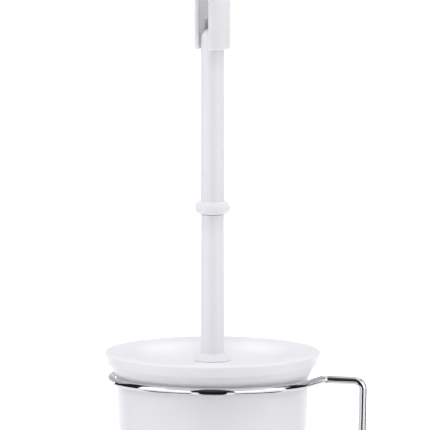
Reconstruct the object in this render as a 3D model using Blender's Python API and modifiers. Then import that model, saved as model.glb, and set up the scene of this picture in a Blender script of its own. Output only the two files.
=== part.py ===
"""Toilet brush holder: a white cup standing in a chrome wire frame, and a long-handled brush whose lid closes the cup.

Metres, +Z up. The floor is z = 0, and the origin is the middle of the holder's footprint. The cup, the lid and the
brush share one upright axis, which an empty carries a little to -X of the origin; the frame's post stands at +X.
"""

from math import cos, hypot, pi, radians, sin, sqrt, tan

import bmesh
import bpy
from mathutils import Matrix, Vector

# Fits
FIT_GAP = 0.0003  # between pieces that touch
LID_HOLE_CLEARANCE = 0.0005  # the brush turns freely in its lid

# Wire frame
WIRE_RADIUS = 0.002
RING_CLEARANCE = 0.0007  # between the top ring's inside and the cup's neck
RING_LEAVE = radians(23)  # how far before the arm a ring's wire leaves its circle in a straight line
RING_BEND = 0.004  # centre-line radius where that straight turns out into the arm
TOP_RING_END = radians(27)  # how far past the arm the top ring's other end stops, open for the cup
BASE_RING_END = radians(0.9)  # the base ring's other end reaches its arm
RING_DROP = 0.00115  # from the cup's neck down to the top ring's centre line
RING_LEAN = radians(0.4)  # the top ring dips towards the post
RING_TILT = radians(1.2)  # and towards the back
POST_GAP = 0.02475  # from a ring's centre line out to the post, at the top
POST_LEAN = radians(1.2)  # the post leans out
POST_CORNER = 0.0044
ARM_STUB = 0.0005  # straight wire between a ring's bend and the post's arm
ARM_DROP = radians(2.4)

# Feet and the wires that the cup stands on
FOOT_PAD = 0.0022
FOOT_SIZE = (0.0085, 0.0100, 0.0056)  # radial, along the ring, height
FOOT_COUNT = 4
FOOT_EDGE = 0.0008
FOOT_FIT = 0.00006  # between a foot's straight groove and the curved wire, at the foot's ends
REST_WIRE_RADIUS = 0.0015
REST_WIRE_OFFSET = 0.018
REST_WIRE_OVERHANG = 0.0012

# Cup
CUP_HEIGHT = 0.1225
CUP_LIP_HEIGHT = 0.0040
CUP_FLARE_HEIGHT = 0.0066
CUP_NECK_RADIUS = 0.04815
CUP_FLARE_WIDTH = 0.00305
CUP_DRAFT = radians(2.0)
CUP_WALL = 0.0018
CUP_FLOOR = 0.0020
CUP_BASE_FILLET = 0.0040

# Lid
LID_FIT = 0.00035  # between the cup's lip and the skirt's lower edge
LID_WALL = 0.0017
LID_SKIRT_HEIGHT = 0.0060
LID_SKIRT_DRAFT = 0.00135
LID_SKIRT_WALL = 0.0012
LID_BRIM_WIDTH = 0.0081
LID_BRIM_FALL = 0.0009
LID_SLOPE_WIDTH = 0.0145
LID_DISH_DEPTH = 0.0047
LID_EDGE = 0.0008

# Handle
SHAFT_RADIUS = 0.0059
SHAFT_TAPER = 0.00015  # how much thicker or thinner a segment's ends are than its middle
FLANGE_WIDTH = 0.0034
FLANGE_HEIGHT = 0.0037
LOWER_SHAFT_LENGTH = 0.0733
UPPER_SHAFT_LENGTH = 0.0930
SHAFT_DOME = 0.0045
SPIGOT_RADIUS = 0.0040
SPIGOT_LENGTH = 0.0200
COLLAR_SWELL = 0.0029
COLLAR_HEIGHT = 0.0065
STUD_RADIUS = 0.0035
STUD_LENGTH = 0.0120  # past the lid, into the brush head
FLANGE_EDGE = 0.0004
STUD_CHAMFER = 0.0008

# Grip
GRIP_CLEARANCE = 0.0012  # between the shaft and the grip's bore, which the ribs bridge
GRIP_WALL = 0.0020
GRIP_LENGTH = 0.1045
GRIP_OVERLAP = 0.0106  # how far the shaft reaches up into the grip
GRIP_END_FILLET = 0.0016
GRIP_SLOT_SIDE = radians(226)  # direction that the slot faces, from +X
GRIP_SLOT_ANGLE = radians(62)
GRIP_TOP_SOLID = 0.0150
GRIP_RIB_WIDTH = 0.0014
GRIP_RIB_LENGTH = 0.0130
GRIP_RIB_SPACING = radians(70)

# Brush head
CORE_RADIUS = 0.0100
NECK_RADIUS = 0.0078
NECK_LENGTH = 0.0300
NECK_CHAMFER = 0.0006
CORE_ROUND = 0.0030
BRISTLE_CLEARANCE = 0.0053  # between the bristles and the cup's wall at its floor
TIP_CLEARANCE = 0.0110  # between the lowest bristles and the cup's floor
BRISTLE_ROWS = 6
BRISTLE_ROW_THICKNESS = 0.0060
ROW_TOP_MARGIN = 0.0040
ROW_BASE_MARGIN = 0.0020
TUFTS_PER_ROW = 12
TUFT_ROOT_SHARE = 0.42  # of the pitch, at the core
TUFT_TIP_SHARE = 0.99  # of the pitch, at the tips, were the tips as near the axis as the roots
TUFT_ROOT_GAP = 0.0012  # how far outside its hole a row's tufts divide
TUFT_CROWN = 0.97  # a tuft's corners, as a share of its tip's radius
TIP_RADIUS = 0.0240
TIP_HEIGHT = 0.0110
TIP_ROUND = 0.0030

ROUND_STEPS = 48
SHAFT_STEPS = 24
RING_SIDES = 10
REST_WIRE_SIDES = 8
BEND_STEPS = 6
COLLAR_STEPS = 8
DISH_STEPS = 6
MERGE = 0.00001

# Sizes and places that follow from the ones above
CUP_LIP_RADIUS = CUP_NECK_RADIUS + CUP_FLARE_WIDTH
LID_RADIUS = CUP_LIP_RADIUS + LID_FIT + LID_SKIRT_WALL + LID_SKIRT_DRAFT
BRIM_INNER = LID_RADIUS - LID_BRIM_WIDTH
DISH_RADIUS = BRIM_INNER - LID_SLOPE_WIDTH
RING_RADIUS = CUP_NECK_RADIUS + RING_CLEARANCE + WIRE_RADIUS  # to the wire's centre line
POST_REACH = RING_RADIUS + POST_GAP
FLANGE_RADIUS = SHAFT_RADIUS + FLANGE_WIDTH
GRIP_RADIUS = SHAFT_RADIUS + GRIP_CLEARANCE + GRIP_WALL
AXIS_X = (LID_RADIUS - POST_REACH - WIRE_RADIUS) / 2
BASE_RING_HEIGHT = FOOT_PAD + FIT_GAP + WIRE_RADIUS
REST_WIRE_HEIGHT = BASE_RING_HEIGHT + WIRE_RADIUS + FIT_GAP + REST_WIRE_RADIUS
CUP_BASE = REST_WIRE_HEIGHT + REST_WIRE_RADIUS + FIT_GAP
CUP_TOP = CUP_BASE + CUP_HEIGHT
LID_TOP = CUP_TOP + FIT_GAP + LID_WALL + LID_BRIM_FALL / 2
DISH_FLOOR = LID_TOP - LID_DISH_DEPTH
FLANGE_BASE = DISH_FLOOR + FIT_GAP
LOWER_SHAFT_TOP = FLANGE_BASE + LOWER_SHAFT_LENGTH
UPPER_SHAFT_BASE = LOWER_SHAFT_TOP + FIT_GAP
UPPER_SHAFT_TOP = UPPER_SHAFT_BASE + UPPER_SHAFT_LENGTH
GRIP_BASE = UPPER_SHAFT_TOP - GRIP_OVERLAP
HEAD_TOP = DISH_FLOOR - LID_WALL - FIT_GAP
CORE_TOP = HEAD_TOP - NECK_LENGTH
CORE_BASE = CUP_BASE + CUP_FLOOR + TIP_CLEARANCE + TIP_HEIGHT + FIT_GAP
CUP_NECK = CUP_TOP - CUP_LIP_HEIGHT - CUP_FLARE_HEIGHT
CUP_BASE_RADIUS = CUP_NECK_RADIUS - (CUP_NECK - CUP_BASE) * tan(CUP_DRAFT)
BRISTLE_RADIUS = CUP_BASE_RADIUS - CUP_WALL - BRISTLE_CLEARANCE
RING_HEIGHT = CUP_NECK - RING_DROP

CHROME = ("chrome", (0.80, 0.80, 0.83), 0.08, 1.0)
WHITE = ("white_plastic", (0.86, 0.85, 0.89), 0.35, 0.0)
BRISTLE = ("white_bristle", (0.90, 0.90, 0.92), 0.55, 0.0)
RUBBER = ("foot_plastic", (0.75, 0.75, 0.78), 0.60, 0.0)


def clear_scene():
    for obj in list(bpy.data.objects):
        bpy.data.objects.remove(obj, do_unlink=True)


def new_collection(name):
    collection = bpy.data.collections.new(name)
    bpy.context.scene.collection.children.link(collection)
    return collection


def set_material(obj, look):
    kind, color, roughness, metallic = look
    material = bpy.data.materials.new(f"{obj.name}_{kind}")
    material.use_nodes = True
    shader = material.node_tree.nodes["Principled BSDF"]
    shader.inputs["Base Color"].default_value = (*color, 1.0)
    shader.inputs["Roughness"].default_value = roughness
    shader.inputs["Metallic"].default_value = metallic
    obj.data.materials.append(material)


def add_mesh(name, mesh, collection, look):
    obj = bpy.data.objects.new(name, mesh)
    collection.objects.link(obj)
    obj.parent = bpy.data.objects["cup_axis"]
    if look:
        set_material(obj, look)
    return obj


def arc(centre, radius, start, end, count):
    """Points of an arc in the (radius, height) plane, with angles in degrees from outward."""
    angles = [radians(start + (end - start) * i / count) for i in range(count + 1)]
    return [(centre[0] + radius * cos(a), centre[1] + radius * sin(a)) for a in angles]


def turned(name, profile, steps, collection, look):
    """A solid of revolution about Z; the profile runs down its outer side."""
    mesh = bpy.data.meshes.new(name)
    edges = [(i, i + 1) for i in range(len(profile) - 1)]
    mesh.from_pydata([(r, 0.0, z) for r, z in profile], edges, [])
    obj = add_mesh(name, mesh, collection, look)
    screw = obj.modifiers.new("Turn", "SCREW")
    screw.steps = steps
    screw.render_steps = steps
    screw.use_merge_vertices = True
    screw.merge_threshold = MERGE
    screw.use_smooth_shade = True
    return obj


def wire(name, points, radius, sides, collection, look):
    """A round wire along a list of points, with flat ends."""
    curve = bpy.data.curves.new(name, "CURVE")
    curve.dimensions = "3D"
    curve.bevel_depth = radius
    curve.bevel_resolution = sides // 2 - 2
    curve.use_fill_caps = True
    spline = curve.splines.new("POLY")
    spline.points.add(len(points) - 1)
    for point, place in zip(spline.points, points):
        point.co = (*place, 1.0)
    return add_mesh(name, curve, collection, look)


def rounded_path(corners, radius, count):
    """A path through the corners, in which each inner corner is an arc."""
    path = [Vector(corners[0])]
    for before, corner, after in zip(corners, corners[1:], corners[2:]):
        corner = Vector(corner)
        back = (Vector(before) - corner).normalized()
        ahead = (Vector(after) - corner).normalized()
        half = back.angle(ahead) / 2
        centre = corner + (back + ahead).normalized() * radius / sin(half)
        first = (corner + back * radius / tan(half) - centre).normalized()
        last = (corner + ahead * radius / tan(half) - centre).normalized()
        for i in range(count + 1):
            path.append(centre + first.slerp(last, i / count) * radius)
    path.append(Vector(corners[-1]))
    return path


def ring_path(height, lean, tilt, end):
    """A ring that starts at the given angle past +X and comes round to run straight out into its arm there."""
    sweep = 2 * pi - RING_LEAVE - end
    angles = [end + sweep * i / (ROUND_STEPS - 1) for i in range(ROUND_STEPS)]
    flat = [(RING_RADIUS * cos(a), RING_RADIUS * sin(a), 0.0) for a in angles]
    corner = (RING_RADIUS / cos(RING_LEAVE), 0.0, 0.0)
    setback = RING_BEND * tan((pi / 2 - RING_LEAVE) / 2)
    arm = (corner[0] + setback + ARM_STUB, 0.0, 0.0)
    flat = flat[:-1] + rounded_path([flat[-1], corner, arm], RING_BEND, BEND_STEPS)
    return [(x, y, height - x * tan(lean) - y * tan(tilt)) for x, y, _ in flat]


def make_frame(parts, cutters):
    top_path = ring_path(RING_HEIGHT, RING_LEAN, RING_TILT, TOP_RING_END)
    base_path = ring_path(BASE_RING_HEIGHT, 0.0, 0.0, BASE_RING_END)
    wire("top_ring", top_path, WIRE_RADIUS, RING_SIDES, parts, CHROME)
    wire("base_ring", base_path, WIRE_RADIUS, RING_SIDES, parts, CHROME)
    arm_start = top_path[-1][0] + FIT_GAP
    arm_height = top_path[-1][2]
    corner_height = arm_height - (POST_REACH - arm_start) * tan(ARM_DROP)
    foot_reach = POST_REACH - (corner_height - BASE_RING_HEIGHT) * tan(POST_LEAN)
    corners = [
        (arm_start, 0.0, arm_height),
        (POST_REACH, 0.0, corner_height),
        (foot_reach, 0.0, BASE_RING_HEIGHT),
        (arm_start, 0.0, BASE_RING_HEIGHT),
    ]
    post_path = rounded_path(corners, POST_CORNER, BEND_STEPS)
    wire("side_post", post_path, WIRE_RADIUS, RING_SIDES, parts, CHROME)
    make_rest_wires(parts)
    for number in range(FOOT_COUNT):
        make_foot(number, parts, cutters)


def make_rest_wires(parts):
    """Two straight wires across the base ring, which carry the cup."""
    reach = sqrt(RING_RADIUS**2 - REST_WIRE_OFFSET**2) + REST_WIRE_OVERHANG
    for side, y in (("front", -REST_WIRE_OFFSET), ("back", REST_WIRE_OFFSET)):
        ends = [(-reach, y, REST_WIRE_HEIGHT), (reach, y, REST_WIRE_HEIGHT)]
        wire(f"rest_wire_{side}", ends, REST_WIRE_RADIUS, REST_WIRE_SIDES, parts, CHROME)


def make_foot(number, parts, cutters):
    """A block that clips up over the base ring's wire, with a flat underside on the floor."""
    angle = pi / FOOT_COUNT + 2 * pi * number / FOOT_COUNT
    spin = Matrix.Rotation(angle, 4, "Z")
    mesh = bpy.data.meshes.new(f"foot_{number + 1}")
    block = bmesh.new()
    bmesh.ops.create_cube(block, size=1.0)
    bmesh.ops.scale(block, vec=FOOT_SIZE, verts=block.verts)
    bmesh.ops.translate(block, vec=(RING_RADIUS, 0.0, FOOT_SIZE[2] / 2), verts=block.verts)
    bmesh.ops.transform(block, matrix=spin, verts=block.verts)
    block.to_mesh(mesh)
    block.free()
    foot = add_mesh(f"foot_{number + 1}", mesh, parts, RUBBER)
    edge = foot.modifiers.new("Rounded edges", "BEVEL")
    edge.width = FOOT_EDGE
    edge.segments = 2
    groove_length = FOOT_SIZE[1] * 1.4
    bow = FOOT_SIZE[1] ** 2 / (8 * RING_RADIUS)
    groove_radius = WIRE_RADIUS + bow + FOOT_FIT
    groove = bmesh.new()
    bmesh.ops.create_cone(
        groove,
        cap_ends=True,
        segments=16,
        radius1=groove_radius,
        radius2=groove_radius,
        depth=groove_length,
    )
    on_ring = Matrix.Translation((RING_RADIUS, 0.0, BASE_RING_HEIGHT))
    along_ring = Matrix.Rotation(pi / 2, 4, "X")
    bmesh.ops.transform(groove, matrix=spin @ on_ring @ along_ring, verts=groove.verts)
    groove_mesh = bpy.data.meshes.new(f"foot_groove_{number + 1}")
    groove.to_mesh(groove_mesh)
    groove.free()
    cut(foot, add_cutter(groove_mesh, cutters), "DIFFERENCE")


def add_cutter(mesh, cutters):
    cutter = add_mesh(mesh.name, mesh, cutters, None)
    cutter.hide_render = True
    cutter.display_type = "WIRE"
    return cutter


def cut(obj, cutter, operation):
    boolean = obj.modifiers.new(cutter.name, "BOOLEAN")
    boolean.operation = operation
    boolean.solver = "EXACT"
    boolean.object = cutter


def make_cup(parts):
    """A drafted cup with a flared mouth and an upright lip that the lid's skirt covers."""
    flare_top = CUP_NECK + CUP_FLARE_HEIGHT
    slope = hypot(CUP_FLARE_WIDTH, CUP_FLARE_HEIGHT)
    drop = CUP_WALL * (slope - CUP_FLARE_WIDTH) / CUP_FLARE_HEIGHT
    floor = CUP_BASE + CUP_FLOOR
    inner_fillet = CUP_BASE_FILLET - CUP_WALL
    inner_base = CUP_BASE_RADIUS - CUP_WALL
    lip_round = CUP_WALL / 2
    profile = [(0.0, floor)]
    profile += arc((inner_base - inner_fillet, floor + inner_fillet), inner_fillet, -90, 0, 4)
    profile += [(CUP_NECK_RADIUS - CUP_WALL, CUP_NECK - drop)]
    profile += [(CUP_LIP_RADIUS - CUP_WALL, flare_top - drop)]
    profile += arc((CUP_LIP_RADIUS - lip_round, CUP_TOP - lip_round), lip_round, 180, 0, 4)
    profile += [(CUP_LIP_RADIUS, flare_top), (CUP_NECK_RADIUS, CUP_NECK)]
    heel = (CUP_BASE_RADIUS - CUP_BASE_FILLET, CUP_BASE + CUP_BASE_FILLET)
    profile += arc(heel, CUP_BASE_FILLET, 0, -90, 4)
    profile += [(0.0, CUP_BASE)]
    turned("cup", profile, ROUND_STEPS, parts, WHITE)


def dish_curve(top):
    """The lid's upper surface from its floor out to its brim, lowered to the given rim height."""
    fall = LID_DISH_DEPTH - LID_BRIM_FALL
    points = []
    for i in range(DISH_STEPS + 1):
        share = i / DISH_STEPS
        height = top - LID_DISH_DEPTH + fall * (1 - cos(pi * share)) / 2
        points.append((DISH_RADIUS + LID_SLOPE_WIDTH * share, height))
    return points


def make_lid(parts):
    """A shallow dish with a skirt over the cup's lip and a plain hole for the brush's stud."""
    hole = STUD_RADIUS + LID_HOLE_CLEARANCE
    under = LID_TOP - LID_WALL
    skirt_base = LID_TOP - LID_SKIRT_HEIGHT
    skirt_radius = LID_RADIUS - LID_SKIRT_DRAFT
    profile = [(hole, DISH_FLOOR)]
    profile += dish_curve(LID_TOP)
    profile += [(LID_RADIUS - 2 * LID_EDGE, LID_TOP - LID_EDGE / 4)]
    profile += arc((LID_RADIUS - LID_EDGE, LID_TOP - LID_EDGE), LID_EDGE, 80, 0, 3)
    profile += [(skirt_radius, skirt_base), (skirt_radius - LID_SKIRT_WALL, skirt_base)]
    profile += [(LID_RADIUS - LID_SKIRT_WALL - LID_EDGE, under - LID_EDGE / 4)]
    profile += list(reversed(dish_curve(under)))
    profile += [(hole, DISH_FLOOR - LID_WALL), (hole, DISH_FLOOR)]
    turned("lid", profile, ROUND_STEPS, parts, WHITE)


def make_lower_shaft(parts):
    """Spigot, tapered shaft, the cone that sits on the lid, and the stud below it."""
    stud_base = HEAD_TOP - STUD_LENGTH
    profile = [(0.0, LOWER_SHAFT_TOP + SPIGOT_LENGTH)]
    profile += [(SPIGOT_RADIUS - STUD_CHAMFER, LOWER_SHAFT_TOP + SPIGOT_LENGTH)]
    profile += [(SPIGOT_RADIUS, LOWER_SHAFT_TOP + SPIGOT_LENGTH - STUD_CHAMFER)]
    profile += [(SPIGOT_RADIUS, LOWER_SHAFT_TOP), (SHAFT_RADIUS - SHAFT_TAPER, LOWER_SHAFT_TOP)]
    profile += [(SHAFT_RADIUS + SHAFT_TAPER, FLANGE_BASE + FLANGE_HEIGHT)]
    profile += [(FLANGE_RADIUS, FLANGE_BASE + FLANGE_EDGE), (FLANGE_RADIUS, FLANGE_BASE)]
    profile += [(STUD_RADIUS, FLANGE_BASE), (STUD_RADIUS, stud_base + STUD_CHAMFER)]
    profile += [(STUD_RADIUS - STUD_CHAMFER, stud_base), (0.0, stud_base)]
    turned("lower_shaft", profile, SHAFT_STEPS, parts, WHITE)


def make_upper_shaft(parts):
    """Domed shaft whose lower end is a socket with a rounded collar round its mouth."""
    socket = SPIGOT_RADIUS + FIT_GAP
    socket_top = UPPER_SHAFT_BASE + SPIGOT_LENGTH + 2 * FIT_GAP
    top_radius = SHAFT_RADIUS - SHAFT_TAPER / 3
    base_radius = SHAFT_RADIUS + SHAFT_TAPER
    profile = []
    for across, up in reversed(arc((0.0, 0.0), 1.0, 0, 90, 6)):
        profile.append((across * top_radius, UPPER_SHAFT_TOP - SHAFT_DOME * (1 - up)))
    profile += [(base_radius, UPPER_SHAFT_BASE + COLLAR_HEIGHT)]
    for i in range(1, COLLAR_STEPS):
        share = i / COLLAR_STEPS
        height = UPPER_SHAFT_BASE + COLLAR_HEIGHT * (1 - share)
        profile.append((base_radius + COLLAR_SWELL * sqrt(1 - (1 - 2 * share) ** 2), height))
    profile += [(base_radius, UPPER_SHAFT_BASE), (socket, UPPER_SHAFT_BASE)]
    profile += [(socket, socket_top), (0.0, socket_top)]
    turned("upper_shaft", profile, SHAFT_STEPS, parts, WHITE)


def make_grip(parts, cutters):
    """A sleeve with a closed top, a lengthwise slot, and ribs inside that hold the shaft."""
    bore = GRIP_RADIUS - GRIP_WALL
    top = GRIP_BASE + GRIP_LENGTH
    slot_top = top - GRIP_TOP_SOLID
    profile = [(0.0, top)]
    profile += list(reversed(arc((0.0, top - GRIP_RADIUS), GRIP_RADIUS, 0, 80, 5)))
    end_round = (GRIP_RADIUS - GRIP_END_FILLET, GRIP_BASE + GRIP_END_FILLET)
    profile += arc(end_round, GRIP_END_FILLET, 0, -90, 3)
    profile += [(bore, GRIP_BASE), (bore, slot_top), (0.0, slot_top)]
    grip = turned("grip", profile, SHAFT_STEPS, parts, WHITE)
    for number, turn in enumerate((pi - GRIP_RIB_SPACING, pi, pi + GRIP_RIB_SPACING)):
        cut(grip, grip_rib(number, GRIP_SLOT_SIDE + turn, cutters), "UNION")
    cut(grip, grip_slot(slot_top, cutters), "DIFFERENCE")


def grip_rib(number, side, cutters):
    """One rib along the bore, which stops just short of the shaft."""
    bore = GRIP_RADIUS - GRIP_WALL
    inner = SHAFT_RADIUS + FIT_GAP
    outer = bore + GRIP_WALL / 2
    rib = bmesh.new()
    bmesh.ops.create_cube(rib, size=1.0)
    bmesh.ops.scale(rib, vec=(outer - inner, GRIP_RIB_WIDTH, GRIP_RIB_LENGTH), verts=rib.verts)
    centre = ((outer + inner) / 2, 0.0, GRIP_BASE + GRIP_END_FILLET + GRIP_RIB_LENGTH / 2)
    bmesh.ops.translate(rib, vec=centre, verts=rib.verts)
    bmesh.ops.transform(rib, matrix=Matrix.Rotation(side, 4, "Z"), verts=rib.verts)
    mesh = bpy.data.meshes.new(f"grip_rib_{number + 1}")
    rib.to_mesh(mesh)
    rib.free()
    return add_cutter(mesh, cutters)


def grip_slot(slot_top, cutters):
    """A wedge from the axis outwards, up to the grip's solid top."""
    reach = GRIP_RADIUS * 2
    half = GRIP_SLOT_ANGLE / 2
    below = GRIP_BASE - GRIP_END_FILLET
    slot = bmesh.new()
    far, side = reach * cos(half), reach * sin(half)
    corners = [(0.0, 0.0), (far, -side), (far, side)]
    base = [slot.verts.new((x, y, below)) for x, y in corners]
    face = slot.faces.new(base)
    raised = bmesh.ops.extrude_face_region(slot, geom=[face])
    lifted = [v for v in raised["geom"] if isinstance(v, bmesh.types.BMVert)]
    bmesh.ops.translate(slot, vec=(0.0, 0.0, slot_top - below), verts=lifted)
    bmesh.ops.recalc_face_normals(slot, faces=slot.faces)
    bmesh.ops.transform(slot, matrix=Matrix.Rotation(GRIP_SLOT_SIDE, 4, "Z"), verts=slot.verts)
    mesh = bpy.data.meshes.new("grip_slot")
    slot.to_mesh(mesh)
    slot.free()
    return add_cutter(mesh, cutters)


def make_brush_core(parts):
    """The head's solid middle, with a socket for the handle's stud in its neck."""
    socket = STUD_RADIUS + FIT_GAP
    socket_base = HEAD_TOP - STUD_LENGTH - 2 * FIT_GAP
    shoulder = CORE_TOP - (CORE_RADIUS - NECK_RADIUS)
    profile = [(0.0, socket_base), (socket, socket_base), (socket, HEAD_TOP)]
    profile += [(NECK_RADIUS - NECK_CHAMFER, HEAD_TOP), (NECK_RADIUS, HEAD_TOP - NECK_CHAMFER)]
    profile += [(NECK_RADIUS, CORE_TOP), (CORE_RADIUS, shoulder)]
    profile += arc((CORE_RADIUS - CORE_ROUND, CORE_BASE + CORE_ROUND), CORE_ROUND, 0, -90, 3)
    profile += [(0.0, CORE_BASE)]
    turned("brush_core", profile, SHAFT_STEPS, parts, WHITE)


def row_outline(turn):
    """Points round a row of tufts, which widen from the core to their tips."""
    root = CORE_RADIUS + FIT_GAP + TUFT_ROOT_GAP
    pitch = 2 * pi / TUFTS_PER_ROW
    points = []
    for tuft in range(TUFTS_PER_ROW):
        middle = turn + pitch * tuft
        root_half = pitch * TUFT_ROOT_SHARE / 2
        tip_half = pitch * TUFT_TIP_SHARE / 2 * root / BRISTLE_RADIUS
        left = [(-root_half, root), (-tip_half, BRISTLE_RADIUS * TUFT_CROWN), (0.0, BRISTLE_RADIUS)]
        right = [(tip_half, BRISTLE_RADIUS * TUFT_CROWN), (root_half, root)]
        for offset, radius in left + right:
            points.append((radius * cos(middle + offset), radius * sin(middle + offset)))
    return points


def make_bristle_row(number, parts):
    """One flat row of tufts round the core, turned half a tuft from its neighbours."""
    highest = CORE_TOP - ROW_TOP_MARGIN - BRISTLE_ROW_THICKNESS / 2
    lowest = CORE_BASE + ROW_BASE_MARGIN + BRISTLE_ROW_THICKNESS / 2
    curve = bpy.data.curves.new(f"bristle_row_{number + 1}", "CURVE")
    curve.dimensions = "2D"
    curve.fill_mode = "BOTH"
    curve.extrude = BRISTLE_ROW_THICKNESS / 2
    hole = CORE_RADIUS + FIT_GAP
    angles = [2 * pi * i / SHAFT_STEPS for i in range(SHAFT_STEPS)]
    inner = [(hole * cos(a), hole * sin(a)) for a in angles]
    for outline in (row_outline(pi / TUFTS_PER_ROW * (number % 2)), inner):
        spline = curve.splines.new("POLY")
        spline.use_cyclic_u = True
        spline.points.add(len(outline) - 1)
        for point, (x, y) in zip(spline.points, outline):
            point.co = (x, y, 0.0, 1.0)
    row = add_mesh(curve.name, curve, parts, BRISTLE)
    row.location.z = highest + (lowest - highest) * number / (BRISTLE_ROWS - 1)


def make_bristle_tip(parts):
    """The crown of bristles under the core."""
    top = CORE_BASE - FIT_GAP
    base = top - TIP_HEIGHT
    profile = [(0.0, top), (CORE_RADIUS, top), (TIP_RADIUS, base + TIP_ROUND)]
    profile += [(TIP_RADIUS - TIP_ROUND, base), (0.0, base)]
    turned("bristle_tip", profile, SHAFT_STEPS, parts, BRISTLE)


def make_axis(collection):
    """The empty on the cup's axis that carries every piece."""
    axis = bpy.data.objects.new("cup_axis", None)
    axis.location.x = AXIS_X
    collection.objects.link(axis)


def make_holder():
    clear_scene()
    parts = new_collection("toilet_brush_holder")
    cutters = new_collection("cutters")
    make_axis(parts)
    make_frame(parts, cutters)
    make_cup(parts)
    make_lid(parts)
    make_lower_shaft(parts)
    make_upper_shaft(parts)
    make_grip(parts, cutters)
    make_brush_core(parts)
    for number in range(BRISTLE_ROWS):
        make_bristle_row(number, parts)
    make_bristle_tip(parts)


make_holder()
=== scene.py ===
"""Looks of the toilet brush holder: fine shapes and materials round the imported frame.

Metres, with +Z up and the floor at z = 0.
"""

from math import cos, hypot, pi, radians, sin, sqrt, tan

import bmesh
import bpy
import numpy as np
from mathutils import Matrix, Vector


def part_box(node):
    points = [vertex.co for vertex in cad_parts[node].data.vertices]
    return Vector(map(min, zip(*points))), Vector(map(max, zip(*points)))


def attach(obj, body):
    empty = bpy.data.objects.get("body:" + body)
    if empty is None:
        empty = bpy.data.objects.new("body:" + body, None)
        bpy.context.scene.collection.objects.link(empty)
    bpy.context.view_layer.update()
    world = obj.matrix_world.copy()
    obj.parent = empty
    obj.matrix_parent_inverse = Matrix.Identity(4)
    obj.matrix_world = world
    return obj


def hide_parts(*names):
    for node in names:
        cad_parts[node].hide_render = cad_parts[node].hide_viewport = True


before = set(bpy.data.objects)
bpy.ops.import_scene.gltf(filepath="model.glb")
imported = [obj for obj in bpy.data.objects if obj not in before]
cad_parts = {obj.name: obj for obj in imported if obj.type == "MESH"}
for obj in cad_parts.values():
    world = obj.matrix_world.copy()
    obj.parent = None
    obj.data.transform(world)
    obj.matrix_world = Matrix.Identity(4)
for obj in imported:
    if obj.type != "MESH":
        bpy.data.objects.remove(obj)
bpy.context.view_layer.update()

CUP_LOW, CUP_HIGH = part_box("cup")
_, LID_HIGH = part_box("lid")
UPPER_LOW, UPPER_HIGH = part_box("upper_shaft")
LOWER_LOW, LOWER_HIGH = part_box("lower_shaft")
GRIP_LOW, GRIP_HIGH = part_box("grip")
CORE_LOW, CORE_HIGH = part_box("brush_core")
AXIS = (CUP_LOW[0] + CUP_HIGH[0]) / 2  # x of the cup's and the brush's upright axis

FINE = 160  # sides of the large turned pieces
SLIM = 72  # sides of the handle's pieces
SAME_POINT = 1e-7  # points nearer than this, to each other or to the axis, count as one
OPEN_CORNER = radians(172)  # corners at least this open aren't rounded
FILLET_SHARE = 0.45  # the most of a side that one fillet may take


# ---------------------------------------------------------------- shapes

def new_object(name, data):
    obj = bpy.data.objects.new(name, data)
    bpy.context.scene.collection.objects.link(obj)
    return obj


def mesh_data(name, mesh):
    """The bmesh as mesh data. The bmesh itself is freed."""
    data = bpy.data.meshes.new(name)
    mesh.to_mesh(data)
    mesh.free()
    return data


def add_object(name, data, material, body, slot, *nodes):
    """A piece that rides a body and stands in for the CAD nodes named."""
    obj = new_object(name, data)
    data.materials.append(material)
    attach(obj, body)
    if nodes:
        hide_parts(*nodes)
    return obj


def arc(centre, radius, start, end, count):
    """Points of an arc in the (radius, height) plane, with angles in degrees from outward."""
    angles = np.radians(np.linspace(start, end, count + 1))
    return [(centre[0] + radius * cos(a), centre[1] + radius * sin(a)) for a in angles]


def fillet(points, radius, count):
    """The outline with each inner corner rounded, as far as its two sides allow."""
    done = [points[0]]
    for before, corner, after in zip(points, points[1:], points[2:]):
        c = Vector(corner)
        back, ahead = Vector(before) - c, Vector(after) - c
        if back.length < SAME_POINT or ahead.length < SAME_POINT:
            continue
        angle = back.angle(ahead)
        if angle > OPEN_CORNER:
            done.append(corner)
            continue
        reach = min(radius / tan(angle / 2), FILLET_SHARE * back.length, FILLET_SHARE * ahead.length)
        first, last = c + back.normalized() * reach, c + ahead.normalized() * reach
        for i in range(count + 1):
            t = i / count
            point = first * (1 - t) ** 2 + c * 2 * t * (1 - t) + last * t**2
            done.append((point.x, point.y))
    done.append(points[-1])
    return done


def straight(start, end):
    """Points close inside both ends of a straight side, so that its shading stays straight too."""
    points = []
    for share in (0.006, 0.03, 0.97, 0.994):
        radius = start[0] + (end[0] - start[0]) * share
        height = start[1] + (end[1] - start[1]) * share
        points.append((radius, height))
    return points


def turned_mesh(name, profile, steps):
    """A closed solid of revolution about the axis; the profile runs down its outer side."""
    mesh = bmesh.new()
    rings = []
    for radius, height in profile:
        if radius < SAME_POINT:
            rings.append([mesh.verts.new((AXIS, 0.0, height))])
            continue
        ring = []
        for i in range(steps):
            a = 2 * pi * i / steps
            ring.append(mesh.verts.new((AXIS + radius * cos(a), radius * sin(a), height)))
        rings.append(ring)
    pairs = list(zip(rings, rings[1:]))
    if len(rings[0]) > 1 and profile[0] == profile[-1]:
        pairs[-1] = (rings[-2], rings[0])
        for vert in rings[-1]:
            mesh.verts.remove(vert)
    for upper, lower in pairs:
        for i in range(steps):
            j = (i + 1) % steps
            corners = [upper[i % len(upper)], lower[i % len(lower)]]
            corners += [lower[j % len(lower)], upper[j % len(upper)]]
            unique = list(dict.fromkeys(corners))
            if len(unique) > 2:
                mesh.faces.new(unique)
    data = mesh_data(name, mesh)
    data.shade_smooth()
    data.set_sharp_from_angle(angle=radians(50))
    return data


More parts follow.
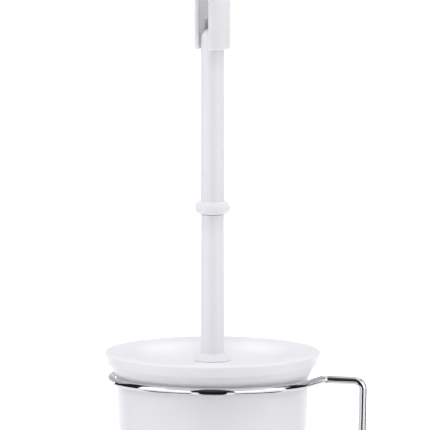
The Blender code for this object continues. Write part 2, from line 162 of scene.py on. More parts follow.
def tube_mesh(name, paths, sides):
    """Round strands, each a list of (point, radius), with closed ends, as one mesh."""
    verts, faces = [], []
    for path in paths:
        points = [Vector(p) for p, _ in path]
        tangent = (points[1] - points[0]).normalized()
        across = tangent.orthogonal().normalized()
        base = len(verts)
        for i, (point, radius) in enumerate(path):
            point = Vector(point)
            ahead = points[min(i + 1, len(points) - 1)] - points[max(i - 1, 0)]
            ahead.normalize()
            across = (across - ahead * across.dot(ahead)).normalized()
            up = ahead.cross(across)
            for k in range(sides):
                a = 2 * pi * k / sides
                verts.append(point + (across * cos(a) + up * sin(a)) * radius)
        for i in range(len(path) - 1):
            for k in range(sides):
                n = (k + 1) % sides
                a, b = base + i * sides, base + (i + 1) * sides
                faces.append((a + k, a + n, b + n, b + k))
        faces.append([base + k for k in reversed(range(sides))])
        faces.append([base + (len(path) - 1) * sides + k for k in range(sides)])
    data = bpy.data.meshes.new(name)
    data.from_pydata([tuple(v) for v in verts], [], faces)
    data.shade_smooth()
    data.set_sharp_from_angle(angle=radians(60))
    return data


# ---------------------------------------------------------------- materials

def new_material(name):
    material = bpy.data.materials.new(name)
    material.use_nodes = True
    nodes = material.node_tree.nodes
    return material, nodes, material.node_tree.links, nodes["Principled BSDF"]


def noise(nodes, links, coords, scale, detail, stretch=(1.0, 1.0, 1.0)):
    mapping = nodes.new("ShaderNodeMapping")
    mapping.inputs["Scale"].default_value = stretch
    links.new(coords.outputs["Object"], mapping.inputs["Vector"])
    texture = nodes.new("ShaderNodeTexNoise")
    texture.inputs["Scale"].default_value = scale
    texture.inputs["Detail"].default_value = detail
    links.new(mapping.outputs["Vector"], texture.inputs["Vector"])
    return texture.outputs["Fac"]


def ranged(nodes, links, value, low, high, from_low=0.3, from_high=0.7):
    """The value carried from one range to another; noise lies mostly between 0.3 and 0.7."""
    node = nodes.new("ShaderNodeMapRange")
    node.inputs["From Min"].default_value = from_low
    node.inputs["From Max"].default_value = from_high
    node.inputs["To Min"].default_value = low
    node.inputs["To Max"].default_value = high
    links.new(value, node.inputs["Value"])
    return node.outputs["Result"]


def mixed(nodes, links, value, first, second):
    node = nodes.new("ShaderNodeMix")
    node.data_type = "RGBA"
    node.inputs["A"].default_value = (*first, 1.0)
    node.inputs["B"].default_value = (*second, 1.0)
    links.new(value, node.inputs["Factor"])
    return node.outputs["Result"]


def bumped(nodes, links, height, distance, strength, after=None):
    node = nodes.new("ShaderNodeBump")
    node.inputs["Distance"].default_value = distance
    node.inputs["Strength"].default_value = strength
    links.new(height, node.inputs["Height"])
    if after:
        links.new(after, node.inputs["Normal"])
    return node.outputs["Normal"]


def soak(shader, weight, reach):
    """Light that soaks into the material, as far as reach in red, green and blue."""
    shader.inputs["Subsurface Weight"].default_value = weight
    shader.inputs["Subsurface Radius"].default_value = reach
    shader.inputs["Subsurface Scale"].default_value = 1.0


def white_plastic(name, rough, depth, tint):
    """Satin polypropylene: faint flow clouding, a fine moulded skin and light rub marks."""
    material, nodes, links, shader = new_material(name)
    coords = nodes.new("ShaderNodeTexCoord")
    cloud = noise(nodes, links, coords, scale=22.0, detail=2.0, stretch=(1.0, 1.0, 0.35))
    tone = ranged(nodes, links, cloud, 0.0, 1.0)
    darker = tuple(c * 0.975 for c in tint)
    links.new(mixed(nodes, links, tone, tint, darker), shader.inputs["Base Color"])
    rub = noise(nodes, links, coords, scale=160.0, detail=4.0, stretch=(1.0, 1.0, 0.25))
    links.new(ranged(nodes, links, rub, rough - 0.012, rough + 0.018), shader.inputs["Roughness"])
    skin = noise(nodes, links, coords, scale=2600.0, detail=2.0)
    wave = noise(nodes, links, coords, scale=55.0, detail=1.0)
    waved = bumped(nodes, links, wave, distance=0.00025, strength=0.10)
    grained = bumped(nodes, links, skin, distance=0.00002, strength=0.25, after=waved)
    links.new(grained, shader.inputs["Normal"])
    shader.inputs["IOR"].default_value = 1.49
    shader.inputs["Specular IOR Level"].default_value = 0.42
    soak(shader, depth, (0.0050, 0.0048, 0.0046))
    return material


def chrome_wire(name):
    """Bright plating: a faint grain and a few dull smudges."""
    material, nodes, links, shader = new_material(name)
    coords = nodes.new("ShaderNodeTexCoord")
    smudge = noise(nodes, links, coords, scale=45.0, detail=3.0)
    tone = ranged(nodes, links, smudge, 0.0, 1.0)
    colour = mixed(nodes, links, tone, (0.80, 0.79, 0.82), (0.74, 0.735, 0.765))
    links.new(colour, shader.inputs["Base Color"])
    links.new(ranged(nodes, links, smudge, 0.03, 0.085), shader.inputs["Roughness"])
    grain = noise(nodes, links, coords, scale=900.0, detail=2.0)
    grained = bumped(nodes, links, grain, distance=0.000012, strength=0.15)
    links.new(grained, shader.inputs["Normal"])
    shader.inputs["Metallic"].default_value = 1.0
    return material


def nylon(name):
    """Milky monofilament, a little uneven from strand to strand."""
    material, nodes, links, shader = new_material(name)
    coords = nodes.new("ShaderNodeTexCoord")
    patch = noise(nodes, links, coords, scale=900.0, detail=2.0)
    tone = ranged(nodes, links, patch, 0.0, 1.0)
    colour = mixed(nodes, links, tone, (0.90, 0.90, 0.93), (0.80, 0.80, 0.84))
    links.new(colour, shader.inputs["Base Color"])
    links.new(ranged(nodes, links, patch, 0.30, 0.45), shader.inputs["Roughness"])
    soak(shader, 0.25, (0.0010, 0.0010, 0.0010))
    return material


def foot_plastic(name):
    """Soft clip plastic with a fine matt grain."""
    material, nodes, links, shader = new_material(name)
    coords = nodes.new("ShaderNodeTexCoord")
    cloud = noise(nodes, links, coords, scale=120.0, detail=3.0)
    tone = ranged(nodes, links, cloud, 0.0, 1.0)
    colour = mixed(nodes, links, tone, (0.66, 0.66, 0.69), (0.58, 0.58, 0.62))
    links.new(colour, shader.inputs["Base Color"])
    links.new(ranged(nodes, links, cloud, 0.50, 0.65), shader.inputs["Roughness"])
    grain = noise(nodes, links, coords, scale=1800.0, detail=2.0)
    grained = bumped(nodes, links, grain, distance=0.00005, strength=0.4)
    links.new(grained, shader.inputs["Normal"])
    return material


# ---------------------------------------------------------------- cup and lid

CUP_WALL = 0.0018
CUP_NECK = 0.04815
CUP_LIP = 0.0512
LIP_HEIGHT = 0.0040
FLARE_HEIGHT = 0.0066
CUP_DRAFT = radians(2.0)
CUP_FLOOR = 0.0020
CUP_FLOOR_ROUND = 0.0022
CUP_BASE_ROUND = 0.0040
STANDING_RIM = 0.0018
UNDERSIDE_RECESS = 0.0008  # the underside is hollowed a little inside its standing rim
RECESS_SLOPE = 0.0006
CUP_FILLETS = 0.0008, 0.0012  # inside and outside


def make_cup(plastic):
    base, top = CUP_LOW[2], CUP_HIGH[2]
    flare_top = top - LIP_HEIGHT
    neck = flare_top - FLARE_HEIGHT
    base_radius = CUP_NECK - (neck - base) * tan(CUP_DRAFT)
    slope = hypot(CUP_LIP - CUP_NECK, FLARE_HEIGHT)
    drop = CUP_WALL * (slope - CUP_LIP + CUP_NECK) / FLARE_HEIGHT
    floor = base + CUP_FLOOR
    underside = base + UNDERSIDE_RECESS
    flat_floor = base_radius - CUP_WALL - CUP_FLOOR_ROUND
    inner = [(0.0, floor), (flat_floor, floor)]
    inner += arc((flat_floor, floor + CUP_FLOOR_ROUND), CUP_FLOOR_ROUND, -80, 0, 6)
    inner += [(CUP_NECK - CUP_WALL, neck - drop), (CUP_LIP - CUP_WALL, flare_top - drop)]
    rim = arc((CUP_LIP - CUP_WALL / 2, top - CUP_WALL / 2), CUP_WALL / 2, 180, 0, 10)
    outer = [(CUP_LIP, flare_top), (CUP_NECK, neck)]
    flat_base = base_radius - CUP_BASE_ROUND
    outer += arc((flat_base, base + CUP_BASE_ROUND), CUP_BASE_ROUND, 0, -90, 10)
    recess_edge = flat_base - STANDING_RIM
    outer += [(recess_edge, base), (recess_edge - RECESS_SLOPE, underside), (0.0, underside)]
    profile = fillet(inner, CUP_FILLETS[0], 3) + rim + fillet(outer, CUP_FILLETS[1], 4)
    shell = turned_mesh("cup_shell", profile, FINE)
    add_object("cup_shell", shell, plastic, "cup", "white_plastic", "cup")


LID_RADIUS = 0.0541
LID_WALL = 0.0017
LID_HOLE = 0.0040
LID_ROUND = 0.0011
BRIM_INNER = 0.0460
BRIM_FALL = 0.0009
BRIM_EDGE_FALL = 0.0002
DISH_RADIUS = 0.0315
DISH_DEPTH = 0.0047
DISH_MARGIN = 0.0040  # the floor's last point is this far inside the dish's curve
SKIRT_HEIGHT = 0.0060
SKIRT_DRAFT = 0.00135
SKIRT_WALL = 0.0012
SKIRT_ROUND = 0.0005
SKIRT_CORNER = 0.0008


def dish_curve(top, count):
    """The dish's side, a half wave from its floor up to the brim."""
    rise = DISH_DEPTH - BRIM_FALL
    points = []
    for share in np.linspace(0.0, 1.0, count + 1):
        radius = DISH_RADIUS + (BRIM_INNER - DISH_RADIUS) * share
        points.append((radius, top - DISH_DEPTH + rise * (1 - cos(pi * share)) / 2))
    return points


def make_lid(plastic):
    top = LID_HIGH[2]
    floor = top - DISH_DEPTH
    skirt = LID_RADIUS - SKIRT_DRAFT
    skirt_base = top - SKIRT_HEIGHT
    profile = [(LID_HOLE, floor), (DISH_RADIUS - DISH_MARGIN, floor)]
    profile += dish_curve(top, 20)
    profile += [(LID_RADIUS - 2 * LID_ROUND, top - BRIM_EDGE_FALL)]
    profile += arc((LID_RADIUS - LID_ROUND, top - LID_ROUND), LID_ROUND, 82, 0, 8)
    profile += arc((skirt - SKIRT_ROUND, skirt_base + SKIRT_ROUND), SKIRT_ROUND, 0, -90, 4)
    profile += [(skirt - SKIRT_WALL, skirt_base)]
    profile += [(LID_RADIUS - SKIRT_WALL - SKIRT_CORNER, top - LID_WALL - BRIM_EDGE_FALL)]
    profile += list(reversed(dish_curve(top - LID_WALL, 20)))
    profile += [(LID_HOLE, floor - LID_WALL), (LID_HOLE, floor)]
    dish = turned_mesh("lid_dish", profile, FINE)
    add_object("lid_dish", dish, plastic, "lid", "white_plastic", "lid")


# ---------------------------------------------------------------- handle

SHAFT_RADIUS = 0.0059
SHAFT_TAPER = 0.00015
FLANGE_RADIUS = 0.0093
FLANGE_HEIGHT = 0.0037
FLANGE_EDGE = 0.0004
FLANGE_GAP = 0.00008  # between the flange and the lid's floor
COLLAR_RADIUS = 0.0089
COLLAR_HEIGHT = 0.0065
COLLAR_SKEW = 1.08  # above 1, the collar is widest a little below its middle
DOME_HEIGHT = 0.0047
SPIGOT_RADIUS = 0.0040
SPIGOT_LENGTH = 0.0200
SOCKET_FIT = 0.0003
SOCKET_SPARE = 0.0006
STUD_RADIUS = 0.0035
TIP_CHAMFER = 0.0008
THREAD_TURNS = 6
THREAD_PITCH = 0.0016
THREAD_DEPTH = 0.0005
THREAD_START = 0.0012
HANDLE_FILLET = 0.0004


def make_lower_shaft(plastic):
    """The spigot, the shaft, its flange and the stud, whose thread is a stack of ridges."""
    low, high = LOWER_LOW[2], LOWER_HIGH[2]
    shoulder = high - SPIGOT_LENGTH
    flange = LID_HIGH[2] - DISH_DEPTH + FLANGE_GAP
    shaft_top = (SHAFT_RADIUS - SHAFT_TAPER, shoulder)
    shaft_base = (SHAFT_RADIUS + SHAFT_TAPER, flange + FLANGE_HEIGHT)
    profile = [(0.0, high), (SPIGOT_RADIUS - TIP_CHAMFER, high), (SPIGOT_RADIUS, high - TIP_CHAMFER)]
    profile += [(SPIGOT_RADIUS, shoulder), shaft_top] + straight(shaft_top, shaft_base) + [shaft_base]
    profile += [(FLANGE_RADIUS, flange + FLANGE_EDGE), (FLANGE_RADIUS, flange), (STUD_RADIUS, flange)]
    for i in range(THREAD_TURNS * 2):
        depth = THREAD_DEPTH if i % 2 else 0.0
        height = low + THREAD_START + THREAD_PITCH * (THREAD_TURNS - i / 2)
        profile.append((STUD_RADIUS - depth, height))
    profile += [(STUD_RADIUS - TIP_CHAMFER, low), (0.0, low)]
    mesh = turned_mesh("handle_lower", fillet(profile, HANDLE_FILLET, 3), SLIM)
    add_object("handle_lower", mesh, plastic, "brush", "white_plastic", "lower_shaft")


def make_upper_shaft(plastic):
    """The shaft from its domed end, which shows in the grip, down to the collar and its socket."""
    base, top = UPPER_LOW[2], UPPER_HIGH[2]
    top_radius = SHAFT_RADIUS - SHAFT_TAPER / 3
    base_radius = SHAFT_RADIUS + SHAFT_TAPER
    profile = []
    for across, up in reversed(arc((0.0, 0.0), 1.0, 0, 90, 14)):
        profile.append((across * top_radius, top - DOME_HEIGHT * (1 - up)))
    profile[0] = (0.0, top)
    profile += straight((top_radius, top - DOME_HEIGHT), (base_radius, base + COLLAR_HEIGHT))
    for share in np.linspace(0.0, 1.0, 23):
        swell = sqrt(max(0.0, 1 - (1 - 2 * share**COLLAR_SKEW) ** 2))
        radius = base_radius + (COLLAR_RADIUS - base_radius) * swell
        profile.append((radius, base + COLLAR_HEIGHT * (1 - share)))
    socket = SPIGOT_RADIUS + SOCKET_FIT
    socket_end = base + SPIGOT_LENGTH + SOCKET_SPARE
    profile += [(socket, base), (socket, socket_end), (0.0, socket_end)]
    mesh = turned_mesh("handle_upper", profile, SLIM)
    add_object("handle_upper", mesh, plastic, "brush", "white_plastic", "upper_shaft")


GRIP_RADIUS = 0.0091
GRIP_WALL = 0.0020
GRIP_SIDES = 96
GRIP_BASE_ROUND = 0.0016
BORE_CHAMFER = 0.0003
GRIP_TOP_SOLID = 0.0150
SLOT_SIDE = radians(226)
SLOT_HALF = radians(31)
RIB_SPACING = radians(70)
RIB_WIDTH = 0.0014
RIB_LENGTH = 0.0130
RIB_INSET = 0.0016  # from the sleeve's open end
RIB_FIT = 0.0003  # between rib and shaft
RIB_SINK = 0.0006  # into the sleeve's wall
RIB_BEVEL = 0.0002


def make_grip(plastic):
    """A sleeve with a closed domed top and a lengthwise slot with soft lips."""
    base, top = GRIP_LOW[2], GRIP_HIGH[2]
    bore = GRIP_RADIUS - GRIP_WALL
    slot_top = top - GRIP_TOP_SOLID
    profile = [(0.0, top)]
    profile += list(reversed(arc((0.0, top - GRIP_RADIUS), GRIP_RADIUS, 0, 84, 14)))
    corner = (GRIP_RADIUS - GRIP_BASE_ROUND, base + GRIP_BASE_ROUND)
    profile += arc(corner, GRIP_BASE_ROUND, 0, -90, 8)
    profile += [(bore + BORE_CHAMFER, base), (bore, base + BORE_CHAMFER)]
    profile += [(bore, slot_top), (0.0, slot_top)]
    sleeve = turned_mesh("grip_sleeve", profile, GRIP_SIDES)
    grip = add_object("grip_sleeve", sleeve, plastic, "brush", "white_plastic", "grip")
    cut(grip, make_slot_cutter(base, slot_top))
    edge = grip.modifiers.new("Soft lips", "BEVEL")
    edge.width = 0.00035
    edge.segments = 3
    edge.limit_method = "ANGLE"
    edge.angle_limit = radians(40)
    edge.harden_normals = True
    add_ribs(plastic, base, bore)


def toward_slot(turn=0.0):
    """The place of something drawn facing +X, put on the axis and turned from the slot's side."""
    return Matrix.Translation((AXIS, 0.0, 0.0)) @ Matrix.Rotation(SLOT_SIDE + turn, 4, "Z")


def make_slot_cutter(base, slot_top):
    """A round-topped wedge that widens outward, with its edge near the axis."""
    cutter = bmesh.new()
    half_width = GRIP_RADIUS * sin(SLOT_HALF)
    below = base - 0.01
    outline = [(-half_width, below), (half_width, below)]
    outline += arc((0.0, slot_top - half_width), half_width, 0, 180, 10)
    ends = []
    for distance in (GRIP_RADIUS * 0.1, GRIP_RADIUS * 2):
        widen = distance / (GRIP_RADIUS * cos(SLOT_HALF))
        ends.append([cutter.verts.new((distance, y * widen, z)) for y, z in outline])
    inner_end, outer_end = ends
    cutter.faces.new(inner_end)
    cutter.faces.new(list(reversed(outer_end)))
    for i in range(len(outline)):
        j = (i + 1) % len(outline)
        cutter.faces.new((inner_end[j], inner_end[i], outer_end[i], outer_end[j]))
    bmesh.ops.recalc_face_normals(cutter, faces=cutter.faces)
    bmesh.ops.transform(cutter, matrix=toward_slot(), verts=cutter.verts)
    return new_object("slot_cutter", mesh_data("slot_cutter", cutter))


def cut(obj, tool):
    """Cuts tool out of obj for good, and removes tool."""
    boolean = obj.modifiers.new("Cut", "BOOLEAN")
    boolean.operation = "DIFFERENCE"
    boolean.solver = "EXACT"
    boolean.object = tool
    graph = bpy.context.evaluated_depsgraph_get()
    mesh = bpy.data.meshes.new_from_object(obj.evaluated_get(graph))
    obj.modifiers.clear()
    old = obj.data
    name = old.name
    obj.data = mesh
    bpy.data.meshes.remove(old)
    mesh.name = name
    bpy.data.objects.remove(tool, do_unlink=True)


def add_ribs(plastic, base, bore):
    """Three ribs in the bore, which hold the shaft."""
    inner, outer = SHAFT_RADIUS + RIB_FIT, bore + RIB_SINK
    middle = Vector(((outer + inner) / 2, 0.0, base + RIB_INSET + RIB_LENGTH / 2))
    ribs = bmesh.new()
    for turn in (pi - RIB_SPACING, pi, pi + RIB_SPACING):
        made = bmesh.ops.create_cube(ribs, size=1.0)["verts"]
        bmesh.ops.scale(ribs, vec=(outer - inner, RIB_WIDTH, RIB_LENGTH), verts=made)
        bmesh.ops.translate(ribs, vec=middle, verts=made)
        bmesh.ops.transform(ribs, matrix=toward_slot(turn), verts=made)
    bmesh.ops.bevel(ribs, geom=ribs.edges[:], offset=RIB_BEVEL, segments=2, affect="EDGES")
    add_object("grip_ribs", mesh_data("grip_ribs", ribs), plastic, "brush", "white_plastic")


# ---------------------------------------------------------------- brush head

ROWS = 6
TUFTS = 12
STRANDS = 30
STRAND_RADIUS = 0.00022
STRAND_TIP = 0.7  # share of that radius at a strand's end
STRAND_SIDES = 5
STRAND_STEPS = (0.0, 0.3, 0.65, 1.0)
TUFT_RADIUS = 0.0012
TUFT_FLATNESS = 0.55  # a tuft is less tall than it is wide
ROOT_RADIUS = 0.0093
BRISTLE_LENGTH = 0.0275
CROWN_LENGTH = 0.018
CROWN_ROOT = 0.0012
CROWN_RINGS = ((1, 0, 0.0), (6, 24, 0.0040), (10, 52, 0.0078))  # tufts, lean in degrees, radius


def spoke(angle):
    """Level directions away from the axis and across, at an angle round it."""
    return Vector((cos(angle), sin(angle), 0.0)), Vector((-sin(angle), cos(angle), 0.0))


def strand(rng, root, direction, side, up, length, spread, bow):
    """One bristle from its place in a tuft: it leans outward in the tuft and bows a little."""
    angle = rng.uniform(0, 2 * pi)
    share = sqrt(rng.uniform(0, 1))
    lean = (side * cos(angle) + up * sin(angle) * TUFT_FLATNESS) * share
    length *= rng.uniform(0.95, 1.0)
    bend = side * rng.normal(0, bow) + up * rng.normal(0, bow * 0.5)
    points = []
    for t in STRAND_STEPS:
        point = root + lean * TUFT_RADIUS + direction * length * t + lean * spread * t + bend * t * t
        points.append((point, STRAND_RADIUS * (1.0 if t < 1 else STRAND_TIP)))
    return points


def make_bristles(material):
    """The rows of tufts, each row turned half a step from the next, and the crown."""
    rng = np.random.default_rng(7)
    up = Vector((0, 0, 1))
    for row in range(1, ROWS + 1):
        name = f"bristle_row_{row}"
        low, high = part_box(name)
        middle = Vector((AXIS, 0.0, (low[2] + high[2]) / 2))
        paths = []
        for tuft in range(TUFTS):
            out, side = spoke(2 * pi * (tuft + 0.5 * ((row - 1) % 2)) / TUFTS)
            root = middle + out * ROOT_RADIUS
            for _ in range(STRANDS):
                paths.append(strand(rng, root, out, side, up, BRISTLE_LENGTH, spread=0.0042, bow=0.0008))
        mesh = tube_mesh(f"bristles_{row}", paths, STRAND_SIDES)
        add_object(f"bristles_{row}", mesh, material, "brush", "bristle", name)
    make_tip_bristles(material, rng)


def make_tip_bristles(material, rng):
    """The crown: a tuft that points down and two rings of tufts that lean outward."""
    low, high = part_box("bristle_tip")
    middle = Vector((AXIS, 0.0, high[2] + CROWN_ROOT))
    down = Vector((0, 0, -1))
    paths = []
    for count, lean, ring in CROWN_RINGS:
        length = min((high[2] - low[2]) / cos(radians(lean)), CROWN_LENGTH)
        for tuft in range(count):
            out, side = spoke(2 * pi * tuft / count)
            direction = (down * cos(radians(lean)) + out * sin(radians(lean))).normalized()
            up = direction.cross(side)
            root = middle + out * ring
            for _ in range(STRANDS):
                paths.append(strand(rng, root, direction, side, up, length, spread=0.0025, bow=0.0005))
    mesh = tube_mesh("bristles_tip", paths, STRAND_SIDES)
    add_object("bristles_tip", mesh, material, "brush", "bristle", "bristle_tip")


CORE_RADIUS = 0.0100
CORE_ROUND = 0.0030
CORE_NECK_RADIUS = 0.0078
CORE_NECK_LENGTH = 0.0300
CORE_NECK_SLOPE = 0.0022
BAND_RADIUS = 0.0086
BAND_SPAN = 0.0110, 0.0140  # below the core's top
BAND_SLOPE = 0.0010
STUD_SOCKET_RADIUS = 0.0038
STUD_SOCKET_DEPTH = 0.0126
CORE_FILLET = 0.0005


def make_core(plastic):
    """The head's middle, with a raised band at its neck and a socket for the stud."""
    top, base = CORE_HIGH[2], CORE_LOW[2]
    socket_end = top - STUD_SOCKET_DEPTH
    neck_end = top - CORE_NECK_LENGTH
    band_top, band_base = top - BAND_SPAN[0], top - BAND_SPAN[1]
    profile = [(0.0, socket_end), (STUD_SOCKET_RADIUS, socket_end), (STUD_SOCKET_RADIUS, top)]
    profile += [(CORE_NECK_RADIUS, top), (CORE_NECK_RADIUS, band_top + BAND_SLOPE)]
    profile += [(BAND_RADIUS, band_top), (BAND_RADIUS, band_base)]
    profile += [(CORE_NECK_RADIUS, band_base - BAND_SLOPE), (CORE_NECK_RADIUS, neck_end)]
    profile += [(CORE_RADIUS, neck_end - CORE_NECK_SLOPE)]
    profile += arc((CORE_RADIUS - CORE_ROUND, base + CORE_ROUND), CORE_ROUND, 0, -90, 8)
    profile += [(0.0, base)]
    mesh = turned_mesh("head_core", fillet(profile, CORE_FILLET, 3), SLIM)
    add_object("head_core", mesh, plastic, "brush", "white_plastic", "brush_core")


# ---------------------------------------------------------------- wire frame

WIRE_RADIUS = 0.0020
WIRE_SIDES = 28
RING_RADIUS = 0.05085
RING_LEAVE = radians(23)
RING_BEND = 0.0040
RING_STEPS = 240
RING_HEIGHT = 0.12085
RING_LEAN = radians(0.4)
RING_TILT = radians(1.2)
TOP_RING_END = radians(27)
BASE_RING_HEIGHT = 0.0045
BASE_RING_END = radians(-9)
ARM_START = 0.0005  # the straight run past the bend, before the arm takes its own slope
ARM_DROP = radians(2.4)
POST_REACH = 0.0756
POST_CORNER = 0.0044
POST_LEAN = radians(1.2)
REST_SIDES = 24
REST_DOME = (1.0, 0.8, 0.55, 0.3, 0.0)  # steps from a rest wire's end to its full radius
REST_DOME_LENGTH = 0.5  # share of that radius
REST_TIP = 0.02  # square of the flat end's share of that radius
BEAD_SIZE = (0.0021, 0.0019, 0.0011)
BEAD_SINK = 0.0001


def ring_points(height, lean, tilt, end):
    """The ring from its far end round to the straight run and the bend that lead it out along +X."""
    flat = []
    for angle in np.linspace(end, 2 * pi - RING_LEAVE, RING_STEPS):
        flat.append(Vector((RING_RADIUS * cos(angle), RING_RADIUS * sin(angle), 0.0)))
    corner = Vector((RING_RADIUS / cos(RING_LEAVE), 0.0, 0.0))
    setback = RING_BEND * tan((pi / 2 - RING_LEAVE) / 2)
    arm = corner + Vector((setback + ARM_START, 0.0, 0.0))
    flat += corner_points(flat[-1], corner, arm, RING_BEND, 14) + [arm]
    return [Vector((AXIS + p.x, p.y, height - p.x * tan(lean) - p.y * tan(tilt))) for p in flat]


def corner_points(before, corner, after, radius, count):
    """The arc that rounds the corner between two straight runs."""
    back = (before - corner).normalized()
    ahead = (after - corner).normalized()
    half = back.angle(ahead) / 2
    centre = corner + (back + ahead).normalized() * radius / sin(half)
    first = (corner + back * radius / tan(half) - centre).normalized()
    last = (corner + ahead * radius / tan(half) - centre).normalized()
    return [centre + first.slerp(last, i / count) * radius for i in range(count + 1)]


def make_frame(chrome):
    """One wire: top ring, arm, post, arm and base ring. The cup's rests are two more."""
    top = ring_points(RING_HEIGHT, RING_LEAN, RING_TILT, TOP_RING_END)
    base = ring_points(BASE_RING_HEIGHT, 0.0, 0.0, BASE_RING_END)
    upper = Vector((AXIS + POST_REACH, 0.0, top[-1].z - (AXIS + POST_REACH - top[-1].x) * tan(ARM_DROP)))
    reach = POST_REACH - (upper.z - BASE_RING_HEIGHT) * tan(POST_LEAN)
    lower = Vector((AXIS + reach, 0.0, BASE_RING_HEIGHT))
    path = top + corner_points(top[-1], upper, lower, POST_CORNER, 12)
    path += corner_points(upper, lower, base[-1], POST_CORNER, 12) + list(reversed(base))
    mesh = tube_mesh("frame_wire", [[(p, WIRE_RADIUS) for p in path]], WIRE_SIDES)
    add_object("frame_wire", mesh, chrome, "frame", "chrome_wire", "top_ring", "side_post", "base_ring")
    for side in ("front", "back"):
        make_rest_wire(side, chrome)


def make_rest_wire(side, chrome):
    """A straight wire with domed ends and a small weld bead at each crossing."""
    low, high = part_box(f"rest_wire_{side}")
    radius = (high[2] - low[2]) / 2
    y, z = (low[1] + high[1]) / 2, (low[2] + high[2]) / 2
    start, finish = [], []
    for share in REST_DOME:
        inset = radius * REST_DOME_LENGTH * (1 - share)
        thickness = radius * sqrt(max(1 - share**2, REST_TIP))
        start.append(((low[0] + inset, y, z), thickness))
        finish.append(((high[0] - inset, y, z), thickness))
    mesh = tube_mesh(f"cup_rest_{side}", [start + list(reversed(finish))], REST_SIDES)
    add_object(f"cup_rest_{side}", mesh, chrome, "frame", "chrome_wire", f"rest_wire_{side}")
    reach = sqrt(RING_RADIUS**2 - y**2)
    beads = bmesh.new()
    for x in (-reach, reach):
        made = bmesh.ops.create_uvsphere(beads, u_segments=20, v_segments=12, radius=1.0)["verts"]
        bmesh.ops.scale(beads, vec=BEAD_SIZE, verts=made)
        bmesh.ops.translate(beads, vec=(AXIS + x, y, z - radius - BEAD_SINK), verts=made)
    data = mesh_data(f"weld_beads_{side}", beads)
    data.shade_smooth()
    add_object(f"weld_beads_{side}", data, chrome, "frame", "chrome_wire")


# ---------------------------------------------------------------- studio

FLOOR_HALF = 30.0
FLOOR_DROP = 0.0002  # the floor lies just under the feet


def matt(shader, grey, rough):
    """A grey surface without highlights."""
    shader.inputs["Base Color"].default_value = (grey, grey, grey, 1.0)
    shader.inputs["Roughness"].default_value = rough
    shader.inputs["Specular IOR Level"].default_value = 0.0


def make_floor():
    """A pale floor that runs out far behind the object and grows brighter there."""
    mesh = bmesh.new()
    bmesh.ops.create_grid(mesh, x_segments=1, y_segments=1, size=FLOOR_HALF)
    bmesh.ops.translate(mesh, vec=(0.0, 0.0, -FLOOR_DROP), verts=mesh.verts)
    data = mesh_data("floor", mesh)
    floor = new_object("floor", data)
    material, nodes, links, shader = new_material("floor_white")
    matt(shader, grey=0.86, rough=0.9)
    shader.inputs["Emission Color"].default_value = (1.0, 1.0, 1.0, 1.0)
    coords = nodes.new("ShaderNodeTexCoord")
    parts = nodes.new("ShaderNodeSeparateXYZ")
    links.new(coords.outputs["Object"], parts.inputs["Vector"])
    glow = ranged(nodes, links, parts.outputs["Y"], low=0.12, high=0.60, from_low=0.25, from_high=0.60)
    links.new(glow, shader.inputs["Emission Strength"])
    data.materials.append(material)


def make_world():
    """A plain white studio, brightest overhead and dimmest on the camera's side."""
    world = bpy.data.worlds.new("studio")
    bpy.context.scene.world = world
    world.use_nodes = True
    nodes, links = world.node_tree.nodes, world.node_tree.links
    coords = nodes.new("ShaderNodeTexCoord")
    parts = nodes.new("ShaderNodeSeparateXYZ")
    links.new(coords.outputs["Generated"], parts.inputs["Vector"])
    tone = ranged(nodes, links, parts.outputs["Z"], low=0.0, high=1.0, from_low=0.05, from_high=0.85)
    colour = mixed(nodes, links, tone, (0.61, 0.61, 0.615), (0.86, 0.86, 0.87))
    links.new(colour, nodes["Background"].inputs["Color"])
    facing = ranged(nodes, links, parts.outputs["Y"], low=0.50, high=1.12, from_low=-1.00, from_high=-0.15)
    links.new(facing, nodes["Background"].inputs["Strength"])


def add_card(name, middle, half, rows, colour):
    """A card seen only in reflections.

    Its rows give a distance from the axis and a height, and its angles are in degrees from -Y.
    """
    card = bmesh.new()
    count = 24
    angles = np.radians(np.linspace(middle - half, middle + half, count + 1))
    made = []
    for distance, z in rows:
        made.append([card.verts.new((AXIS + distance * sin(a), -distance * cos(a), z)) for a in angles])
    for lower, upper in zip(made, made[1:]):
        for i in range(count):
            card.faces.new((lower[i], lower[i + 1], upper[i + 1], upper[i]))
    data = mesh_data(name, card)
    material, _, _, shader = new_material(f"{name}_face")
    matt(shader, grey=0.004, rough=1.0)
    shader.inputs["Emission Color"].default_value = (*colour, 1.0)
    shader.inputs["Emission Strength"].default_value = 1.0
    data.materials.append(material)
    obj = new_object(name, data)
    obj.visible_camera = False
    obj.visible_diffuse = False
    obj.visible_shadow = False
    obj.visible_transmission = False


def make_cards():
    """What the studio holds besides white: dark walls, doorways and ceiling, and light panels."""
    dark, dim = (0.012, 0.010, 0.012), (0.07, 0.07, 0.075)
    grey, lit = (0.50, 0.50, 0.505), (1.6, 1.6, 1.6)
    low, camera_top, ceiling = 0.001, 0.76, 3.4
    near, far = 0.02, 1.8
    add_card("table_edge_middle", 0, 15, ((0.06, low), (0.45, low)), dark)
    add_card("camera_side", 1, 23, ((0.45, low), (far, low), (far, camera_top)), dark)
    add_card("ceiling_front", 0, 22, ((far, camera_top), (far, ceiling), (near, ceiling)), dim)
    add_card("ceiling_back", 180, 22, ((near, ceiling), (1.6, ceiling)), dim)
    add_card("back_wall", 180, 60, ((1.7, 0.35), (1.7, 1.15)), grey)
    for side, turn in (("left", -1), ("right", 1)):
        add_card(f"window_{side}", 180 + 26 * turn, 15, ((1.65, 1.30), (1.65, 1.80)), lit)
        add_card(f"panel_{side}", 55 * turn, 31, ((1.75, low), (1.75, 0.95)), lit)
        add_card(f"table_edge_{side}", 55 * turn, 31, ((0.105, low), (0.19, low)), dark)
        add_card(f"doorway_{side}", 109 * turn, 23, ((0.40, low), (1.75, low), (1.75, 2.2)), dark)


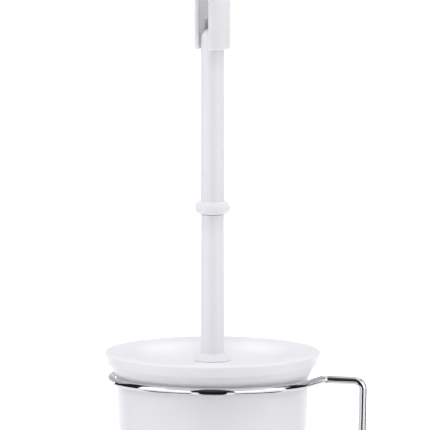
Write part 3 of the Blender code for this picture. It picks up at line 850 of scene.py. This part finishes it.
def add_area_light(name, place, size, power):
    """A rectangular light that faces the middle of the object."""
    light = bpy.data.lights.new(name, "AREA")
    light.shape = "RECTANGLE"
    light.size, light.size_y = size
    light.energy = power
    obj = new_object(name, light)
    obj.location = place
    target = Vector((AXIS, 0.0, 0.18))
    obj.rotation_euler = (target - Vector(place)).to_track_quat("-Z", "Y").to_euler()
    return obj


def make_lights():
    add_area_light("softbox_left", (-1.7, -0.45, 0.9), size=(1.0, 1.2), power=3.8)
    add_area_light("softbox_right", (1.7, -0.10, 0.9), size=(1.0, 1.2), power=3.2)
    top = add_area_light("softbox_top", (0.0, -0.60, 1.9), size=(0.4, 0.4), power=8.0)
    top.visible_glossy = False


def make_camera():
    """A long lens from a little above, whose picture is view_width wide at the object."""
    distance, pitch, view_width = 2.5, radians(6.65), 0.215
    aim = Vector((AXIS + 0.00125, 0.0, 0.2036))
    camera = bpy.data.cameras.new("camera")
    camera.sensor_width = 36.0
    camera.lens = camera.sensor_width * distance / view_width
    camera.clip_end = 100.0
    obj = new_object("camera", camera)
    obj.location = aim + Vector((0.0, -cos(pitch), sin(pitch))) * distance
    obj.rotation_euler = (pi / 2 - pitch, 0.0, 0.0)
    bpy.context.scene.camera = obj


# ---------------------------------------------------------------- the object

def main():
    satin = white_plastic("white_plastic_satin", rough=0.32, depth=0.12, tint=(0.905, 0.892, 0.930))
    # The soft plastic's tint is darker than the satin's: painted shade that keeps the shafts and the
    # head's core dimmer than the cup and lid.
    soft = white_plastic("white_plastic_soft_shaded", rough=0.42, depth=0.15, tint=(0.860, 0.848, 0.884))
    # The milky plastic's tint is darker than the satin's too: painted shade on the grip.
    milky_shaded = white_plastic("white_plastic_milky", rough=0.42, depth=0.65, tint=(0.870, 0.858, 0.894))
    chrome = chrome_wire("chrome_wire")
    make_camera()
    make_floor()
    make_world()
    make_cards()
    make_lights()
    make_cup(satin)
    make_lid(satin)
    make_lower_shaft(soft)
    make_upper_shaft(soft)
    make_grip(milky_shaded)
    make_core(soft)
    make_bristles(nylon("nylon_bristle"))
    make_frame(chrome)
    feet = foot_plastic("foot_plastic")
    for number in range(1, 5):
        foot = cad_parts[f"foot_{number}"]
        foot.data.materials.clear()
        foot.data.materials.append(feet)
    bpy.context.scene.view_settings.view_transform = "Standard"


main()
